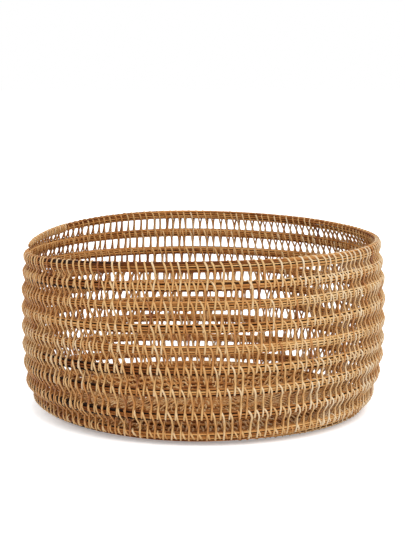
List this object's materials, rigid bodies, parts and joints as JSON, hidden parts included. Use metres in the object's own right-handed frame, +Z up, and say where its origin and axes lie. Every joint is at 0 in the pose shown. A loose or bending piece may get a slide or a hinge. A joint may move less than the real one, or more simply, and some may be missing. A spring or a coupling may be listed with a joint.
{
  "type": "storage basket",
  "caption": "Round open-work storage basket: a coiled bundle of canes, each turn lashed to the next with split cane, open at the top.",
  "frame": {"origin": "on the floor under the middle of the base", "axes": "+Z up through the open top, -Y to the front, +X to the right; the rim's free end is at -X"},
  "size_m": [0.4488, 0.4487, 0.226],
  "materials": {
    "cane_bundle": "satin",
    "split_cane": "satin"
  },
  "bodies": {
    "root": {"base_coil_1": "cane_bundle", "base_coil_2": "cane_bundle", "base_coil_3": "cane_bundle", "base_coil_4": "cane_bundle", "base_coil_5": "cane_bundle", "base_coil_6": "cane_bundle", "base_coil_7": "cane_bundle", "base_lashing_1": "split_cane", "base_lashing_2": "split_cane", "base_lashing_3": "split_cane", "base_lashing_4": "split_cane", "base_lashing_5": "split_cane", "base_lashing_6": "split_cane", "centre_disc": "split_cane", "heel_lashing_1": "split_cane", "heel_lashing_2": "split_cane", "heel_lashing_3": "split_cane", "heel_lashing_4": "split_cane", "rim_coil": "cane_bundle", "rim_lashing_1": "split_cane", "rim_lashing_2": "split_cane", "rim_lashing_3": "split_cane", "rim_lashing_4": "split_cane", "wall_coil_1": "cane_bundle", "wall_coil_2": "cane_bundle", "wall_coil_3": "cane_bundle", "wall_coil_4": "cane_bundle", "wall_coil_5": "cane_bundle", "wall_coil_6": "cane_bundle", "wall_coil_7": "cane_bundle", "wall_coil_8": "cane_bundle", "wall_lashing_1_1": "split_cane", "wall_lashing_1_2": "split_cane", "wall_lashing_1_3": "split_cane", "wall_lashing_1_4": "split_cane", "wall_lashing_2_1": "split_cane", "wall_lashing_2_2": "split_cane", "wall_lashing_2_3": "split_cane", "wall_lashing_2_4": "split_cane", "wall_lashing_3_1": "split_cane", "wall_lashing_3_2": "split_cane", "wall_lashing_3_3": "split_cane", "wall_lashing_3_4": "split_cane", "wall_lashing_4_1": "split_cane", "wall_lashing_4_2": "split_cane", "wall_lashing_4_3": "split_cane", "wall_lashing_4_4": "split_cane", "wall_lashing_5_1": "split_cane", "wall_lashing_5_2": "split_cane", "wall_lashing_5_3": "split_cane", "wall_lashing_5_4": "split_cane", "wall_lashing_6_1": "split_cane", "wall_lashing_6_2": "split_cane", "wall_lashing_6_3": "split_cane", "wall_lashing_6_4": "split_cane", "wall_lashing_7_1": "split_cane", "wall_lashing_7_2": "split_cane", "wall_lashing_7_3": "split_cane", "wall_lashing_7_4": "split_cane"}
  },
  "joints": []
}
